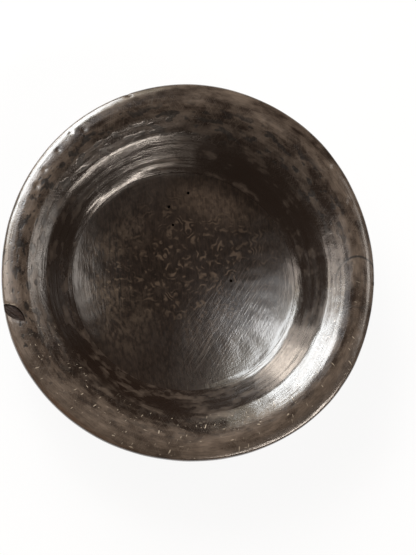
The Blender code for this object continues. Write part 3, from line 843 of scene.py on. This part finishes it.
wall_line = (SHOULDER - WALL_FOOT).normalized()
shoulder_line = (wall_line + (LIP_PEAK - SHOULDER).normalized()).normalized()
under_shoulder = SHOULDER + WALL_THICKNESS * Vector((shoulder_line.y, -shoulder_line.x))
FLANGE_RADIUS = FLOOR_RADIUS + WALL_THICKNESS / wall_line.y
TONGUE_OUTER = FLANGE_RADIUS - TONGUE_INSET
TONGUE_INNER = TONGUE_OUTER - TONGUE_WIDTH
groove_level = SEAT_LEVEL + TONGUE_HEIGHT + GAP
cove = WALL_FOOT + COVE_WIDTH * Vector((1.0, math.tan(COVE_SLOPE)))
ring_outline = outline_points([
    (FLOOR_RADIUS, RING_LEVEL, 0.0, INSIDE),
    (*WALL_FOOT, 0.0, INSIDE),
    (*cove, COVE_RADIUS, INSIDE),
    (*SHOULDER, SHOULDER_RADIUS, INSIDE),
    (*LIP_PEAK, LIP_ROLL_RADIUS, INSIDE),
    (*LIP_EDGE, LIP_EDGE_RADIUS, INSIDE),
    (RIM_RADIUS, LIP_EDGE.y - LIP_EDGE_HEIGHT, LIP_EDGE_RADIUS, OUTSIDE),
    (LIP_PEAK.x, RIM_LEVEL - LIP_THICKNESS, UNDER_LIP_RADIUS, OUTSIDE),
    (*under_shoulder, UNDER_SHOULDER_RADIUS, OUTSIDE),
    (FLANGE_RADIUS, RING_LEVEL, 0.0, BARE),
    (TONGUE_OUTER + GAP, RING_LEVEL, 0.0, BARE),
    (TONGUE_OUTER + GAP, groove_level, 0.0, BARE),
    (TONGUE_INNER - GAP, groove_level, 0.0, BARE),
    (TONGUE_INNER - GAP, RING_LEVEL, 0.0, BARE),
], RING_SPACING)
ring_angles = column_angles(RING_COLUMN_STEP, CLOSE_COLUMN_STEP, (PATCH_WINDOW, KNOT_WINDOW))
print("wall ring:", len(ring_angles), "columns of", len(ring_outline[0]), "points")


def arc_radius(half_chord, rise):
    """The radius of an arc, from half its chord and its rise."""
    return (half_chord**2 + rise**2) / (2 * rise)


def lens_distance(x, y):
    """How far a plan point lies outside the lens of the knot."""
    turned = math.radians(KNOT_AXIS)
    x, y = x - KNOT_MIDDLE.x, y - KNOT_MIDDLE.y
    along = x * math.cos(turned) + y * math.sin(turned)
    across = y * math.cos(turned) - x * math.sin(turned)
    arc = arc_radius(KNOT_LENGTH / 2, KNOT_WIDTH / 2)
    return np.hypot(along, np.abs(across) + arc - KNOT_WIDTH / 2) - arc


def way_out(radius):
    """How far out a place lies: 0 at the floor's edge and 1 at the rim's."""
    return np.maximum((radius - FLOOR_RADIUS) / (RIM_RADIUS - FLOOR_RADIUS), 0.0)


def grown_out(angle, radius):
    """How far the rim has warped outwards at a place: nothing at the floor's edge, most at its own."""
    bulges = sum(size * np.cos(count * (angle - math.radians(at))) for count, size, at in WARPS)
    return way_out(radius) * bulges


def ring_relief(angle, along, radius):
    """The unevenness of the ring, which leaves its seat on the floor dish even."""
    warped = radius + grown_out(angle, radius)
    x, y = warped * np.cos(angle), warped * np.sin(angle)
    inside = ring_outline[1] == INSIDE
    joint = along[0, np.argmax(ring_outline[1] == BARE)]
    free = ease(along, 0.1 * JOINT_EASE, JOINT_EASE) * ease(-along, -joint, JOINT_EASE - joint)
    raised = sum(waves(angle, along, *wave) for wave in RING_WAVES)
    wandering = 2 * np.cos(3 * angle)
    raised = raised + TOOL_MARK_DEPTH * np.cos(2 * math.pi * along / TOOL_MARK_SPACING + wandering)
    draw = np.random.default_rng(DENT_SEED)
    for _ in range(DENT_COUNT):
        direction, at, size, depth = (draw.uniform(*limits) for limits in DENT_RANGES)
        raised = raised + dent(angle, along, radius, direction, at * MM, size * MM, depth * MM)
    inner_radius = np.where(inside, radius, 0.0)
    for direction, at, size, depth in KNOCKS:
        raised = raised + dent(angle, inner_radius, radius, direction, at * MM, size * MM, depth * MM)
    worn = np.exp(-(np.maximum(lens_distance(x, y), 0) / POCKET_WEAR_WIDTH) ** 2)
    return free * (raised - POCKET_WEAR * worn)


def warp_rim(mesh):
    """Moves the ring out of round and out of flat, not at its seat and most at its edge."""
    place = np.empty(len(mesh.vertices) * 3)
    mesh.vertices.foreach_get("co", place)
    x, y, z = place.reshape(-1, 3).T
    angle = np.arctan2(y, x)
    radius = np.hypot(x, y)
    share = ease(z, RING_LEVEL, LIP_EDGE.y - LIP_EDGE_HEIGHT)
    grown = share * grown_out(angle, radius)
    saddle = np.cos(2 * (angle - math.radians(SADDLE_DIRECTION)))
    curled = ease(radius, LIP_PEAK.x, RIM_RADIUS)
    curled = curled * ease(np.cos(angle - math.radians(EDGE_LIFT_DIRECTION)), 0.5, 1.0)
    lifted = share * way_out(radius) * SADDLE_WARP * saddle + EDGE_LIFT * curled
    moved = np.stack([x + grown * np.cos(angle), y + grown * np.sin(angle), z + lifted], axis=1)
    mesh.vertices.foreach_set("co", moved.ravel())
    mesh.update()


ring_mesh = turned_mesh("wall_ring", ring_outline, ring_angles, ring_relief)
warp_rim(ring_mesh)
wall_ring = add_piece(ring_mesh)

# %% [markdown]
# ## Repair and knot
# The repair is an oval let into the rim, widest inside the edge so that it can't slip out. It is cut from
# the same turned form as the ring, so its surface carries on the lip's. Its joint is closed to a glue line
# here, because white paper would show through a wider one, and the finish draws the dirt in it. A peg from
# the rim's edge holds it. The knot is a lens of dead wood that has sunk in its hole.

# %% Repair and knot
OVAL_POINTS = 96
LENS_POINTS = 24
CUT_OVERRUN = 9.0 * MM
GLUE_LINE = 0.04 * MM
KNOT_SUNK = 0.9 * MM
KNOT_POCKET_DEPTH = 5.0 * MM
PATCH_PEG_RADIUS = 1.1 * MM
PATCH_PEG_LENGTH = 26.0 * MM
PATCH_PEG_TILT = 14.0
PATCH_PEG_ENTRY_DROP = 0.4 * MM
PEG_COLUMNS = 28
PEG_SIDES = 9


def patch_oval(shrink):
    """The outline of the repair in plan, drawn in by this much."""
    turned = Matrix.Rotation(math.radians(PATCH_DIRECTION), 2)
    half_width, half_length = PATCH_HALF_WIDTHS - Vector((shrink, shrink))
    for i in range(OVAL_POINTS):
        angle = 2 * math.pi * i / OVAL_POINTS
        yield PATCH_MIDDLE + turned @ Vector((half_width * math.cos(angle), half_length * math.sin(angle)))


def knot_lens(shrink):
    """The outline of the knot in plan, drawn in by this much."""
    half_length, half_width = KNOT_LENGTH / 2 - shrink, KNOT_WIDTH / 2 - shrink
    arc = arc_radius(half_length, half_width)
    half_angle = math.asin(half_length / arc)
    turned = Matrix.Rotation(math.radians(KNOT_AXIS), 2)
    for side in (1, -1):
        for step in range(LENS_POINTS):
            angle = side * half_angle * (2 * step / LENS_POINTS - 1)
            across = arc * math.cos(angle) - (arc - half_width)
            yield KNOT_MIDDLE + turned @ Vector((-arc * math.sin(angle), side * across))


def peg(name, radius, bottom, top, sides=0):
    """A peg about its own Z axis with broken edges, round or whittled to a number of flats."""
    break_width = 0.2 * radius
    corners = ((0.0, bottom), (radius - break_width, bottom), (radius, bottom + break_width),
               (radius, top - break_width), (radius - break_width, top), (0.0, top))
    outline = outline_points([(*corner, 0.0, BARE) for corner in corners], 1.0 * MM)

    def flats(angle, along, at_radius):
        if not sides:
            return 0.0 * angle * at_radius
        half = math.pi / sides
        shrunk = math.cos(half) / np.cos(angle % (2 * half) - half) - 1
        return at_radius * shrunk * (at_radius > 0.5 * radius)

    return add_piece(turned_mesh(name, outline, column_angles(360 / PEG_COLUMNS), flats))


rim_form = add_piece(ring_mesh.copy())
rim_form.name = "rim_form"
above_rim = RIM_LEVEL + CUT_OVERRUN
patch = prism("rim_repair", list(patch_oval(GLUE_LINE)), RING_LEVEL, above_rim)
pocket = prism("patch_pocket", list(patch_oval(0.0)), RING_LEVEL, above_rim)
carve(patch, rim_form, "INTERSECT")
carve(wall_ring, pocket)

inwards = Matrix.Rotation(math.radians(PATCH_DIRECTION), 4, "Z")
entry = BOWL_PLACE + inwards @ Vector((RIM_RADIUS, 0.0, LIP_EDGE.y - PATCH_PEG_ENTRY_DROP))
peg_place = Matrix.Translation(entry) @ inwards @ Matrix.Rotation(math.radians(-90 - PATCH_PEG_TILT), 4, "Y")
patch_peg = peg("repair_peg", PATCH_PEG_RADIUS, 0.0, PATCH_PEG_LENGTH)
patch_bore = peg("repair_peg_bore", PATCH_PEG_RADIUS + GAP, -CUT_OVERRUN, PATCH_PEG_LENGTH + GAP)
patch_peg.matrix_world = patch_bore.matrix_world = peg_place
carve(patch_peg, rim_form, "INTERSECT")
carve(patch, patch_bore)
carve(wall_ring, patch_bore)

knot_floor = RIM_LEVEL - KNOT_POCKET_DEPTH
knot_pocket = prism("knot_pocket", list(knot_lens(0.0)), knot_floor, above_rim)
knot = prism("dead_knot", list(knot_lens(GAP)), knot_floor + GAP, above_rim)
carve(wall_ring, knot_pocket)
rim_form.location.z = -KNOT_SUNK
carve(knot, rim_form, "INTERSECT")
for tool in (rim_form, pocket, patch_bore, knot_pocket):
    bpy.data.objects.remove(tool)
knot_wood = dead_knot(KNOT_AXIS)
finish_piece(wall_ring, [rim_lacquer, outer_lacquer, joint_wood], "rim_wall")
finish_piece(patch, [patch_lacquer, outer_lacquer, joint_wood], "rim_patch")
finish_piece(patch_peg, [peg_wood] * 3, "patch_peg")
finish_piece(knot, [knot_wood] * 3, "rim_knot")

# %% [markdown]
# ## Floor dish
# The dish is the floor, the base under it and the flange that carries the ring. Its underside keeps the
# lathe's rings and the mark of the chuck in the middle. Beetles have left four holes in the floor.

# %% Floor dish
FOOT_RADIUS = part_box("foot_ring")[1].x
FOOT_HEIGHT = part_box("floor_dish")[0].z
BELLY_REACH = 13.0 * MM
BELLY_RISE = 7.5 * MM
BELLY_RADIUS = 30.0 * MM
FOOT_WIDTH = 13.0 * MM
FOOT_TONGUE_WIDTH = 7.0 * MM
FOOT_TONGUE_HEIGHT = 3.0 * MM
DISH_SPACING = 0.9 * MM
DISH_COLUMN_STEP = 0.9
DISH_WAVES = ((21, 55 * MM, 0.09 * MM), (23, 14 * MM, 0.022 * MM))
TOOL_RING_SPACING = 2.6 * MM
TOOL_RING_DEPTH = 0.05 * MM
CHUCK_MARK_RADIUS = 6.0 * MM
CHUCK_MARK_WIDTH = 1.2 * MM
CHUCK_MARK_DEPTH = 0.7 * MM
# Place in plan and radius, in mm
BEETLE_HOLES = ((2.8, 51.6, 0.85), (-7.6, 43.6, 0.9), (-5.0, 33.8, 0.75), (28.1, 3.3, 0.85))
BEETLE_DEPTH = 4.0 * MM
FLOOR_COVE = 0.2 * MM
foot_middle = FOOT_RADIUS - FOOT_WIDTH / 2
foot_tongue_outer = foot_middle + FOOT_TONGUE_WIDTH / 2
foot_tongue_inner = foot_middle - FOOT_TONGUE_WIDTH / 2
foot_groove_level = FOOT_HEIGHT + FOOT_TONGUE_HEIGHT
floor_sphere = arc_radius(FLOOR_RADIUS, FLOOR_SAG)


def floor_corners():
    """The floor's outline from the axis out: an arc that rises a little more in a cove at its edge."""
    half_angle = math.asin(FLOOR_RADIUS / floor_sphere)
    steps = math.ceil(FLOOR_RADIUS / DISH_SPACING)
    for k in range(steps + 1):
        angle = half_angle * k / steps
        radius = floor_sphere * math.sin(angle)
        lift = max(radius - (FLOOR_RADIUS - COVE_WIDTH), 0.0) ** 2 * FLOOR_COVE / COVE_WIDTH**2
        yield radius, FLOOR_LEVEL + floor_sphere * (1 - math.cos(angle)) + lift, 0.0, INSIDE


dish_outline = outline_points([
    *floor_corners(),
    (TONGUE_INNER, SEAT_LEVEL, 0.0, BARE),
    (TONGUE_INNER, SEAT_LEVEL + TONGUE_HEIGHT, 0.0, BARE),
    (TONGUE_OUTER, SEAT_LEVEL + TONGUE_HEIGHT, 0.0, BARE),
    (TONGUE_OUTER, SEAT_LEVEL, 0.0, BARE),
    (FLANGE_RADIUS, SEAT_LEVEL, 0.0, OUTSIDE),
    (FOOT_RADIUS + BELLY_REACH, FOOT_HEIGHT + BELLY_RISE, BELLY_RADIUS, OUTSIDE),
    (FOOT_RADIUS, FOOT_HEIGHT, 0.0, BARE),
    (foot_tongue_outer + GAP, FOOT_HEIGHT, 0.0, BARE),
    (foot_tongue_outer + GAP, foot_groove_level, 0.0, BARE),
    (foot_tongue_inner - GAP, foot_groove_level, 0.0, BARE),
    (foot_tongue_inner - GAP, FOOT_HEIGHT, 0.0, OUTSIDE),
    (0.0, FOOT_HEIGHT, 0.0, OUTSIDE),
], DISH_SPACING)


def dish_relief(angle, along, radius):
    """The unevenness of the dish, which leaves its joints with the ring and the foot even."""
    inside = ease(FLOOR_RADIUS - radius, 0.0, 3 * MM) * (dish_outline[1] == INSIDE)
    recess = (dish_outline[1] == OUTSIDE) * ease(FOOT_RADIUS - FOOT_WIDTH - radius, 0.5 * MM, 3 * MM)
    belly = (dish_outline[1] == OUTSIDE) * ease(radius, FOOT_RADIUS + 1 * MM, FOOT_RADIUS + 5 * MM)
    belly = belly * ease(FLANGE_RADIUS - radius, 0.0, 4 * MM)
    slow = sum(waves(angle, along, *wave) for wave in DISH_WAVES)
    tool_rings = TOOL_RING_DEPTH * np.cos(2 * math.pi * radius / TOOL_RING_SPACING + np.cos(2 * angle))
    chuck_mark = -CHUCK_MARK_DEPTH * np.exp(-((radius - CHUCK_MARK_RADIUS) / CHUCK_MARK_WIDTH) ** 2)
    near_axis = ease(radius, 5 * MM, 60 * MM)
    return near_axis * (inside + belly) * slow + belly * tool_rings + recess * (tool_rings + chuck_mark)


def hole_outline(x, y, radius, points=14):
    turns = [2 * math.pi * k / points for k in range(points)]
    return [(x + radius * math.cos(turn), y + radius * math.sin(turn)) for turn in turns]


dish_angles = column_angles(DISH_COLUMN_STEP)
dish = add_piece(turned_mesh("floor_dish_turned", dish_outline, dish_angles, dish_relief))
for number, (x, y, radius) in enumerate(BEETLE_HOLES):
    surface = FLOOR_LEVEL + floor_sphere - math.sqrt(floor_sphere**2 - (x**2 + y**2) * MM**2)
    hole = prism(f"beetle_hole_{number}", hole_outline(x * MM, y * MM, radius * MM),
                 surface - BEETLE_DEPTH, surface + BEETLE_DEPTH)
    carve(dish, hole)
    bpy.data.objects.remove(hole)
print("beetle holes:", len(BEETLE_HOLES))

# %% [markdown]
# ## Foot ring and its pegs
# The foot is a turned ring with a shallow cove outside and a tongue that enters the dish. Four whittled
# pegs, driven up from below, hold it, and their ends stand a little deep. Its face has rubbed bare on
# shelves. The pegs repeat, so a loop makes them.

# %% Foot ring and pegs
FOOT_COVE = 1.6 * MM
FOOT_COVE_RADIUS = 8.0 * MM
FOOT_EDGE_RADIUS = 1.0 * MM
FOOT_PEG_COUNT = 4
FOOT_PEG_RADIUS = 2.0 * MM
FOOT_PEG_RECESS = 0.5 * MM
FOOT_PEG_LENGTH = 16.5 * MM
FOOT_PEG_DIRECTION = 45.0
FOOT_SPACING = 0.7 * MM
FOOT_COLUMN_STEP = 1.0
FOOT_WAVES = ((31, 30 * MM, 0.05 * MM), (33, 9 * MM, 0.03 * MM))
foot_top = FOOT_HEIGHT - GAP
foot_outline = outline_points([
    (FOOT_RADIUS, foot_top, 0.0, OUTSIDE),
    (FOOT_RADIUS - FOOT_COVE, foot_top / 2, FOOT_COVE_RADIUS, OUTSIDE),
    (FOOT_RADIUS, 0.0, FOOT_EDGE_RADIUS, BARE),
    (FOOT_RADIUS - FOOT_WIDTH, 0.0, FOOT_EDGE_RADIUS, OUTSIDE),
    (FOOT_RADIUS - FOOT_WIDTH, foot_top, 0.0, BARE),
    (foot_tongue_inner, foot_top, 0.0, BARE),
    (foot_tongue_inner, foot_top + FOOT_TONGUE_HEIGHT, 0.0, BARE),
    (foot_tongue_outer, foot_top + FOOT_TONGUE_HEIGHT, 0.0, BARE),
    (foot_tongue_outer, foot_top, 0.0, BARE),
], FOOT_SPACING)


def foot_relief(angle, along, radius):
    """The unevenness of the foot, which nowhere reaches below the table."""
    above_table = ease(foot_outline[0][:, 1], FOOT_EDGE_RADIUS, 3 * FOOT_EDGE_RADIUS)
    sides = (foot_outline[1] == OUTSIDE) * ease(along, 0.5 * MM, 2 * MM) * above_table
    face = (foot_outline[1] == BARE) * (foot_outline[0][:, 1] < TINY)
    knocked = sum(waves(angle, along, *wave) for wave in FOOT_WAVES)
    return sides * knocked - face * np.abs(knocked)


foot = add_piece(turned_mesh("foot_ring_turned", foot_outline, column_angles(FOOT_COLUMN_STEP), foot_relief))
for number in range(1, FOOT_PEG_COUNT + 1):
    angle = math.radians(FOOT_PEG_DIRECTION + 360 * (number - 1) / FOOT_PEG_COUNT)
    peg_middle = (foot_middle * math.cos(angle), foot_middle * math.sin(angle))
    bore = prism("peg_bore", hole_outline(*peg_middle, FOOT_PEG_RADIUS + GAP, PEG_COLUMNS),
                 -CUT_OVERRUN, FOOT_PEG_RECESS + FOOT_PEG_LENGTH + GAP)
    carve(foot, bore)
    carve(dish, bore)
    bpy.data.objects.remove(bore)
    foot_peg = peg(f"whittled_peg_{number}", FOOT_PEG_RADIUS, 0.0, FOOT_PEG_LENGTH, PEG_SIDES)
    foot_peg.location = BOWL_PLACE + Vector((*peg_middle, FOOT_PEG_RECESS))
    foot_peg.rotation_euler.z = angle
    bpy.context.view_layer.update()
    finish_piece(foot_peg, [peg_wood] * 3, f"foot_peg_{number}")
finish_piece(foot, [rim_lacquer, outer_lacquer, joint_wood], "foot_ring")
finish_piece(dish, [floor_lacquer, outer_lacquer, joint_wood], "floor_dish")
